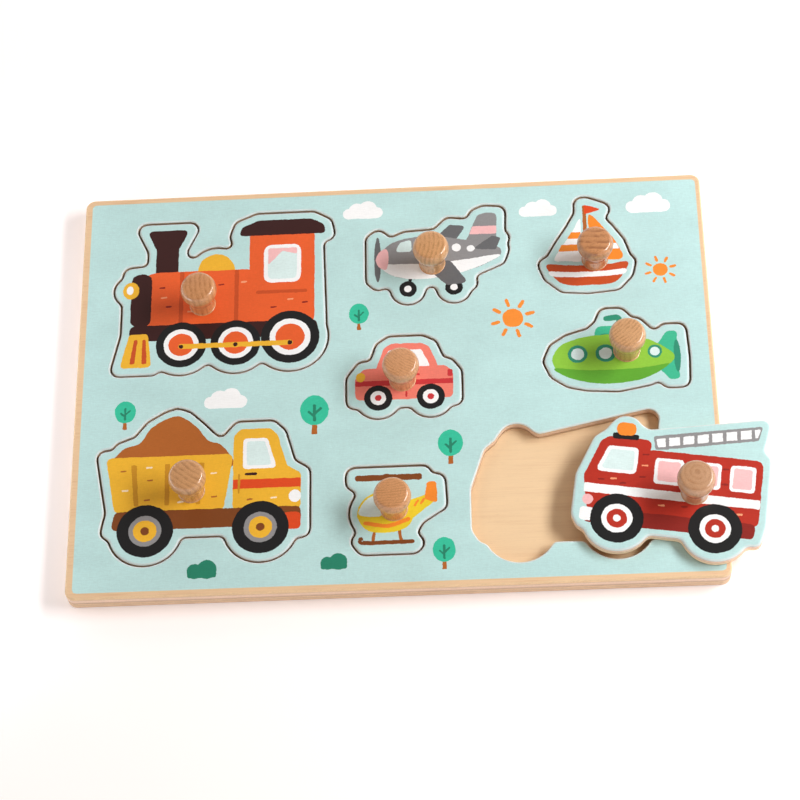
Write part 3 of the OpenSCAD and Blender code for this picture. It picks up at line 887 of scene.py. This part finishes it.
def turned_beech(name, axis, pith, spacing, colours):
    """Turned beech under a clear gloss varnish. The dowel's fibres stand upright, so its top shows the
    growth rings as end grain round a pith, here at an offset in millimetres from the peg's axis, and
    its sides show upright streaks with short dark flecks. Spacing is the width of a ring."""
    material, tree, shader = new_material(name)
    light, dark = colours
    where = add(tree, "ShaderNodeTexCoord")
    centred = add(tree, "ShaderNodeMapping",
                  {"Location": (-(axis[0] + pith[0]) * MM, -(axis[1] + pith[1]) * MM, 0)},
                  {"Vector": where.outputs["Object"]})
    flat = add(tree, "ShaderNodeVectorMath", {"operation": "MULTIPLY", SECOND: (1, 1, 0)}, {FIRST: centred})
    distance = add(tree, "ShaderNodeVectorMath", {"operation": "LENGTH"}, {FIRST: flat})
    wobble = grain(tree, long=30.0, wide=5.0, axes=UPRIGHT, Detail=2.0)
    ripple = grain(tree, long=12.0, wide=0.8, axes=UPRIGHT, Detail=1.0)
    bent = add(tree, "ShaderNodeMath", {"operation": "MULTIPLY_ADD", SECOND: RING_WOBBLE * MM},
               {FIRST: wobble, THIRD: distance.outputs["Value"]})
    rippled = add(tree, "ShaderNodeMath", {"operation": "MULTIPLY_ADD", SECOND: RING_RIPPLE * MM},
                  {FIRST: ripple, THIRD: bent})
    rings = add(tree, "ShaderNodeMath", {"operation": "MULTIPLY", SECOND: 1 / (spacing * MM)},
                {FIRST: rippled})
    ring = add(tree, "ShaderNodeMath", {"operation": "FRACT"}, {FIRST: rings})
    late = add(tree, "ShaderNodeValToRGB",
               {"stops": [(0.0, 0.0), (0.35, 0.12), (0.75, 1.0), (0.88, 0.8), (1.0, 0.0)]}, {"Fac": ring})
    fading = grain(tree, long=16.0, wide=2.6, axes=UPRIGHT, Detail=1.0)
    fade = add(tree, "ShaderNodeMapRange", {"From Min": 0.36, "From Max": 0.62, "To Min": 0.3},
               {"Value": fading})
    depth = add(tree, "ShaderNodeMath", {"operation": "MULTIPLY"}, {FIRST: late, SECOND: fade})
    wood = add(tree, "ShaderNodeMix", {"data_type": "RGBA", COLOUR_A: linear(light), COLOUR_B: linear(dark)},
               {SHARE: depth})
    core = add(tree, "ShaderNodeMapRange",
               {"From Min": CORE_FULL * MM, "From Max": CORE_END * MM, "To Min": 0.7, "To Max": 0.0},
               {"Value": rippled})
    cored = add(tree, "ShaderNodeMix", {"data_type": "RGBA", COLOUR_B: linear(shade(dark, CORE_SHADE))},
                {SHARE: core, COLOUR_A: wood.outputs[MIXED]})
    flecks = grain(tree, long=2.4, wide=0.3, axes=UPRIGHT, Detail=0.0)
    fleck = add(tree, "ShaderNodeMapRange", {"From Min": 0.6, "From Max": 0.7, "To Max": 0.55},
                {"Value": flecks})
    flecked = add(tree, "ShaderNodeMix", {"data_type": "RGBA", COLOUR_B: linear(shade(dark, FLECK_SHADE))},
                  {SHARE: fleck, COLOUR_A: cored.outputs[MIXED]})
    fibres = grain(tree, long=9.0, wide=0.35, axes=UPRIGHT, Detail=3.0)
    shading = add(tree, "ShaderNodeMapRange",
                  {"From Min": 0.3, "From Max": 0.7, "To Min": 0.91, "To Max": 1.08}, {"Value": fibres})
    finished = add(tree, "ShaderNodeMix", {"data_type": "RGBA", "blend_type": "MULTIPLY", SHARE: 1.0},
                   {COLOUR_A: flecked.outputs[MIXED], COLOUR_B: shading})
    tree.links.new(finished.outputs[MIXED], shader.inputs["Base Color"])
    shader.inputs["Roughness"].default_value = 0.42
    shader.inputs["Coat Weight"].default_value = 1.0
    shader.inputs["Coat Roughness"].default_value = 0.09
    return material


# Plies of the board and of a piece: height of each ply's top over the underside, and its colour. The lowest
# ply of each is darker: a painted contact shadow along the foot.
BOARD_LAYERS = [(0.6, "#c8a48c"), (2.6, "#e4c4a2"), (4.6, "#e8c9a9"), (5.6, "#dcbb9e"), (8.4, "#e8ccb6"),
                (9.7, "#e6c79f")]
PIECE_LAYERS = [(0.4, "#d8b698"), (2.3, "#f5dab6"), (4.1, "#ecccb6"), (5.0, "#f2dcc2")]

# Share of the clean wood's colour that the sawn walls keep in a filled cut-out and on a seated piece's edge:
# painted shade that darkens the narrow gaps between piece and board
GAP_PAINTED_SHADE = 0.7


def finish_maker(turn, foot):
    """Gives materials by the names that the shells use, each made once for each turn and height of ply.
    The edge of a seated piece is darkened by painted shade, as its cut-out's walls are, for the shade in the
    narrow gaps."""
    way = "turned" if turn else "level"

    def finish(name):
        if name in INKS:
            return made(f"{name}_{way}", lambda: printed_ink(name, turn))
        if name == "birch":
            return made(f"birch_{way}", lambda: birch_face(f"sanded_birch_veneer_{way}", turn))
        if name == "recess":
            return made("recess", lambda: birch_face("recess_floor_birch_veneer", 0.0, "#e9cba3", "#e2c097"))
        layers = PIECE_LAYERS if name == "piece_ply" else BOARD_LAYERS
        # Painted shade: the walls of a filled cut-out and the edge of a seated piece are darkened for the
        # shade in the narrow gaps
        if name == "gap_ply" or name == "piece_ply" and not turn:
            layers = [(reach, shade(colour, GAP_PAINTED_SHADE)) for reach, colour in layers]
        title = f"{name}_edge_at_{foot:.1f}mm".replace(".", "_")
        return made(title, lambda: ply_edge(title, foot, layers))
    return finish


# The materials made so far, by their keys
MADE = {}


def made(key, maker):
    """The material of that key, made the first time it is asked for."""
    if key not in MADE:
        MADE[key] = maker()
    return MADE[key]


# Pieces


def height_of(node):
    """Lowest and highest point of a CAD node, in millimetres."""
    low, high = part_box(node)
    return low.z / MM, high.z / MM


def peg_axis(name):
    """Where a piece's peg stands, in millimetres."""
    low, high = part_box(f"{name}_peg")
    return np.array([(low.x + high.x) / 2, (low.y + high.y) / 2]) / MM


def turn_of(name):
    """How far a piece is turned where it lies."""
    return LOOSE_TURN if name == LOOSE else 0.0


def picture_place(name, loop):
    """Points of a picture, moved from its own centre to where the piece
    lies. The peg is the common point."""
    width, depth, along, across = PICTURES[name]
    turn = turn_of(name)
    from_peg = loop - np.array([along * width, across * depth])
    turned = np.array([[math.cos(turn), math.sin(turn)], [-math.sin(turn), math.cos(turn)]])
    return from_peg @ turned + peg_axis(name)


def piece_plate(name, art, rng):
    """One printed piece: flat printed face, sanded rounding in mint, paler towards its edge with a painted
    highlight, plywood edge, bare underside and bore."""
    bottom, top = height_of(f"{name}_plate")
    outline = cut_outline(max(top_loops(f"{name}_plate"), key=area))
    bore = disc(*peg_axis(name), BORE_R)[::-1]
    reach, drop = PIECE_EDGE
    foot_reach, foot_rise = PIECE_FOOT
    inner = moved(outline, -reach - LEVEL_RING)
    shapes = [(ink, hand_printed(picture_place(name, shape), rng)) for ink, shape in art]
    shell = Shell()
    shell.flat([inner, bore], top, "mint", shapes)
    edge = rounded_edge(reach, drop, PIECE_FACETS, top)
    # The outer facets of the rounding are paler mint: partly worn print, partly a painted highlight
    shell.wall(outline, edge[:WORN_AND_SHEEN_FROM + 1], "mint")
    shell.wall(outline, edge[WORN_AND_SHEEN_FROM:], "worn_mint")
    bend = (-foot_reach * FOOT_BEND_SHARE, bottom + foot_rise * FOOT_BEND_SHARE)
    shell.wall(outline, [(0, top - drop), (0, (top + bottom) / 2), (0, bottom + foot_rise), bend,
                         (-foot_reach, bottom)], "piece_ply")
    shell.flat([moved(outline, -foot_reach), bore], bottom, "birch", facing=-1)
    shell.wall(bore, [(0, top), (0, bottom)], "piece_ply")
    piece = shell.finish(f"{name}_printed_plate", finish_maker(turn_of(name), bottom))
    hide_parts(f"{name}_plate")
    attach(piece, name)


# Pegs: diameters of the foot and of the flat top, shares of the height at which the straight neck ends
# and the head is widest, the rise of the crown, the bead of varnish round the foot, and the tenon
PEG_FOOT_DIA = 11.8
PEG_TOP_DIA = 12.8
PEG_NECK_SHARE = 4.5 / 18.5
PEG_RING_SHARE = 14 / 18.5
PEG_CROWN = 0.5
VARNISH_BEAD = 0.45
TENON_DIA = 6.0

# Points of a peg's bead, flare, shoulder and crown, round it, and the small ring that borders each of
# its poles, as a share of the flat top's radius and as a radius
BEAD_POINTS = 6
FLARE_POINTS = 22
SHOULDER_POINTS = 12
CROWN_POINTS = 9
PEG_ROUND_POINTS = 96
CROWN_POLE_SHARE = 0.02
TENON_POLE_R = 0.05

# Wood of each peg: where its pith lies from its axis, width of a ring, and its light and dark wood
PEG_WOOD = {
    "locomotive": ((34, 4), 2.3, ("#cd9260", "#b17444")),
    "aeroplane": ((-24, 3), 2.1, ("#d19c6a", "#b48352")),
    "sailboat": ((2, 34), 3.1, ("#c58a5a", "#9b643c")),
    "car": ((16, 22), 1.3, ("#d29a6c", "#bb8355")),
    "submarine": ((-18, 20), 1.6, ("#d09f70", "#b28254")),
    "lorry": ((26, 34), 2.3, ("#ce9a68", "#ae7c4f")),
    "helicopter": ((-3, 40), 1.3, ("#ce9360", "#b7804f")),
    "fire_engine": ((0.6, 1.4), 2.4, ("#bf936e", "#b1815b")),
}


def turned_peg(name):
    """A turned peg: its half section goes round its axis. A bead of varnish curves in to the straight
    neck, which flares by a smooth step to the widest ring. The shoulder is a quarter ellipse, the top a
    low crown, and the tenon stands in the piece's bore."""
    low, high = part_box(f"{name}_peg")
    head_r = (high.x - low.x) / 2 / MM
    _, top_of_piece = height_of(f"{name}_plate")
    low_z, high_z = height_of(f"{name}_peg")
    height = high_z - top_of_piece
    foot_r = PEG_FOOT_DIA / 2
    neck_z = height * PEG_NECK_SHARE
    ring_z = height * PEG_RING_SHARE
    b = np.linspace(0, np.pi / 2, BEAD_POINTS)
    bead = np.column_stack([foot_r + VARNISH_BEAD * (1 - np.sin(b)), VARNISH_BEAD * (1 - np.cos(b))])
    t = np.linspace(0, 1, FLARE_POINTS)
    flare = np.column_stack([foot_r + (head_r - foot_r) * t * t * (3 - 2 * t),
                             neck_z + t * (ring_z - neck_z)])
    neck = np.concatenate([bead, flare])
    a = np.linspace(0, np.pi / 2, SHOULDER_POINTS)[1:]
    top_r = PEG_TOP_DIA / 2
    rim_z = height - PEG_CROWN
    shoulder = np.column_stack([top_r + (head_r - top_r) * np.cos(a), ring_z + (rim_z - ring_z) * np.sin(a)])
    s = np.linspace(1, CROWN_POLE_SHARE, CROWN_POINTS)[1:]
    crown = np.column_stack([top_r * s, rim_z + PEG_CROWN * (1 - s ** 2)])
    tenon_z = low_z - top_of_piece
    tenon = np.array([[TENON_POLE_R, tenon_z], [TENON_DIA / 2, tenon_z], [TENON_DIA / 2, 0.0]])
    section = np.concatenate([tenon, neck, shoulder, crown])
    centre = peg_axis(name)
    around = np.linspace(0, 2 * np.pi, PEG_ROUND_POINTS, endpoint=False)
    rings = [np.column_stack([centre[0] + r * np.cos(around), centre[1] + r * np.sin(around),
                              np.full(PEG_ROUND_POINTS, top_of_piece + z)]) for r, z in section[::-1]]
    shell = Shell()
    shell.band(rings, "beech")
    shell.pole(rings[0], [*centre, high_z], "beech")
    shell.pole(rings[-1], [*centre, low_z], "beech", facing=-1)
    beech = turned_beech(f"varnished_beech_{name}", centre, *PEG_WOOD[name])
    piece = shell.finish(f"{name}_turned_peg", lambda ink: beech)
    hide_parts(f"{name}_peg")
    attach(piece, name)


# Seeds of the wander of the board's printed edges and of the first piece's
BOARD_SEED = 7
PIECE_SEED = 11


def upper_board(outline):
    """The upper plate: bare border, printed field, rims in paler worn mint with a painted highlight, cut-outs
    and sawn edge. Its lower face is the glue joint."""
    bottom, joint = height_of("backing_plate")
    _, top = height_of("cutout_plate")
    holes = [cut_outline(p) for p in top_loops("cutout_plate") if area(p) < 0]
    low = outline.min(0)
    high = outline.max(0)
    field = bar(low[0] + BORDER_LEFT, low[1] + BORDER_NEAR, high[0] - BORDER_RIGHT, high[1] - BORDER_FAR,
                FIELD_CORNER)
    rng = np.random.default_rng(BOARD_SEED)
    shapes = [("mint", resample(field, FIELD_STEP))]
    shapes += [(ink, hand_printed(shape, rng)) for ink, shape in board_print()]
    reach, drop = BOARD_EDGE
    rim_reach, rim_drop = RIM_EDGE
    shell = Shell()
    level_holes = [moved(p, -rim_reach - LEVEL_RING) for p in holes]
    shell.flat([moved(outline, -reach - LEVEL_RING)] + level_holes, top, "birch", shapes)
    shell.wall(outline, rounded_edge(reach, drop, BOARD_FACETS, top), "board_ply")
    shell.wall(outline, [(0, top - drop), (0, joint)], "board_ply")
    pegs = [peg_axis(name) for name in PICTURES]
    for hole in holes:
        filled = any((hole.min(0) < peg).all() and (peg < hole.max(0)).all() for peg in pegs)
        # The rim is paler mint: partly worn print, partly a painted highlight
        shell.wall(hole, rounded_edge(rim_reach, rim_drop, RIM_FACETS, top), "worn_mint")
        # The walls of a filled cut-out take the ply with painted shade in its colour
        shell.wall(hole, [(0, top - rim_drop), (0, (top + joint) / 2), (0, joint)],
                   "gap_ply" if filled else "board_ply")
    shell.flat([outline] + holes, joint, "birch", facing=-1)
    plate = shell.finish("cutout_printed_plate", finish_maker(0.0, bottom))
    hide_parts("cutout_plate")
    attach(plate, "board")


def backing(outline):
    """The backing plate: its upper face is the floor of each cut-out, and its foot is sanded round."""
    bottom, joint = height_of("backing_plate")
    foot_reach, foot_rise = BOARD_FOOT
    shell = Shell()
    shell.flat([outline], joint, "recess")
    under = [(d, bottom - z) for d, z in rounding(foot_reach, foot_rise, FOOT_FACETS)][::-1]
    shell.wall(outline, [(0, joint)] + under, "board_ply")
    shell.flat([moved(outline, -foot_reach)], bottom, "birch", facing=-1)
    plate = shell.finish("backing_birch_plate", finish_maker(0.0, bottom))
    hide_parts("backing_plate")
    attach(plate, "board")


# Stage

# The photograph's camera: what it aims at, how far off, its turns, its lens and film in millimetres,
# and the nearest and farthest that it sees, in metres
AIM = Vector((3.0, -11.07, 9.7)) * MM
CAMERA_DISTANCE = 1071.84 * MM
CAMERA_HEADING = math.radians(6.2805)
CAMERA_TILT = math.radians(27.0558)
CAMERA_ROLL = math.radians(-7.8893)
CAMERA_LENS = 103.5
CAMERA_FILM = 36
CAMERA_NEAREST = 0.05
CAMERA_FARTHEST = 20

# Softboxes, in metres and watts: place, what each faces, breadth and height, power and
# colour. The key is broad and to the right, the reflector stands before the board, and the
# strip lifts the shadow at its left.
MIDDLE = (0, 0, 0)
SOFTBOXES = {
    "key_softbox": ((0.85, 0.08, 0.68), MIDDLE, (0.85, 0.26), 12.7, "#ffffff"),
    "left_softbox": ((-0.9, 0.1, 0.7), MIDDLE, (0.5, 0.3), 1.25, "#ffe8d2"),
    "back_softbox": ((-0.25, 0.85, 0.5), MIDDLE, (1.2, 0.4), 2.4, "#ffffff"),
    "front_reflector": ((-0.3, -1.2, 0.35), MIDDLE, (3.2, 0.7), 6.2, "#ffffff"),
    "left_strip": ((-0.225, 0.0, 0.028), (-0.175, 0, 0), (0.25, 0.02), 0.08, "#e6f4ff"),
}

# The floor: half its breadth in metres, and its glow, which rises from the first distance to the second
FLOOR_HALF = 6.0
FLOOR_GLOW = {"From Min": 0.22, "From Max": 1.5, "To Min": 0.15, "To Max": 0.8}

# The surround's light by the sine of the height that it comes from: white low
# down, and soft and warm overhead
SURROUND_COLOUR = "#ffeadb"
SURROUND_LIGHT = {"From Min": 0.01, "From Max": 0.12, "To Min": 1.4, "To Max": 0.26}


def photo_camera():
    """The photograph's camera: turned by its heading, tipped from straight down,
    and rolled about its own axis."""
    camera = bpy.data.objects.new("photo_camera", bpy.data.cameras.new("photo_camera"))
    bpy.context.scene.collection.objects.link(camera)
    turn = (Matrix.Rotation(CAMERA_HEADING, 4, "Z") @ Matrix.Rotation(CAMERA_TILT, 4, "X")
            @ Matrix.Rotation(CAMERA_ROLL, 4, "Z"))
    back = turn.to_3x3() @ Vector((0, 0, 1))
    camera.matrix_world = Matrix.Translation(AIM + back * CAMERA_DISTANCE) @ turn
    camera.data.lens = CAMERA_LENS
    camera.data.sensor_width = CAMERA_FILM
    camera.data.clip_start = CAMERA_NEAREST
    camera.data.clip_end = CAMERA_FARTHEST
    bpy.context.scene.camera = camera


def soft_light(name, place, aim, size, power, colour):
    """A studio softbox that faces its aim: its size is its breadth and its height."""
    lamp = bpy.data.lights.new(name, "AREA")
    lamp.shape = "RECTANGLE"
    lamp.size, lamp.size_y = size
    lamp.energy = power
    lamp.color = linear(colour)[:3]
    light = bpy.data.objects.new(name, lamp)
    bpy.context.scene.collection.objects.link(light)
    light.location = place
    light.rotation_euler = (Vector(place) - Vector(aim)).to_track_quat("Z", "Y").to_euler()


def floor():
    """A matt white floor that glows more with distance, so that it fades to white with no horizon."""
    mesh = bpy.data.meshes.new("studio_floor")
    corners = [(x * FLOOR_HALF, y * FLOOR_HALF, 0) for x, y in ((-1, -1), (1, -1), (1, 1), (-1, 1))]
    mesh.from_pydata(corners, [], [(0, 1, 2, 3)])
    material, tree, shader = new_material("matt_white_floor")
    shader.inputs["Base Color"].default_value = linear("#fff8f8")
    shader.inputs["Roughness"].default_value = 0.8
    shader.inputs["Specular IOR Level"].default_value = 0.1
    shader.inputs["Emission Color"].default_value = linear("#ffffff")
    where = add(tree, "ShaderNodeTexCoord")
    distance = add(tree, "ShaderNodeVectorMath", {"operation": "LENGTH"}, {FIRST: where.outputs["Object"]})
    glow = add(tree, "ShaderNodeMapRange", FLOOR_GLOW, {"Value": distance.outputs["Value"]})
    tree.links.new(glow.outputs[0], shader.inputs["Emission Strength"])
    mesh.materials.append(material)
    ground = bpy.data.objects.new("studio_floor", mesh)
    bpy.context.scene.collection.objects.link(ground)


def surround():
    """A pale warm surround, brightest low down, whose light depends only on
    the height that it comes from."""
    world = bpy.data.worlds.new("white_surround")
    bpy.context.scene.world = world
    world.use_nodes = True
    tree = world.node_tree
    background = tree.nodes["Background"]
    background.inputs["Color"].default_value = linear(SURROUND_COLOUR)
    direction = add(tree, "ShaderNodeTexCoord")
    upwards = add(tree, "ShaderNodeSeparateXYZ", links={"Vector": direction.outputs["Generated"]})
    strength = add(tree, "ShaderNodeMapRange", SURROUND_LIGHT, {"Value": upwards.outputs["Z"]})
    tree.links.new(strength.outputs[0], background.inputs["Strength"])


def studio():
    """The floor, the softboxes and the surround, shown as they are by the Standard view."""
    floor()
    for name, box in SOFTBOXES.items():
        soft_light(name, *box)
    surround()
    bpy.context.scene.view_settings.view_transform = "Standard"


# What draws the picture of each piece
PRINTS = {
    "locomotive": locomotive_print, "aeroplane": aeroplane_print, "sailboat": sailboat_print,
    "car": car_print, "submarine": submarine_print, "lorry": lorry_print,
    "helicopter": helicopter_print, "fire_engine": fire_engine_print,
}


def main():
    """Dresses the frame: the board, each piece with its peg, and the stage."""
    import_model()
    photo_camera()
    outline = resample(max(top_loops("backing_plate"), key=area), BOARD_STEP)
    upper_board(outline)
    backing(outline)
    for seed, (name, draw) in enumerate(PRINTS.items(), PIECE_SEED):
        piece_plate(name, draw(), np.random.default_rng(seed))
        turned_peg(name)
    studio()


main()
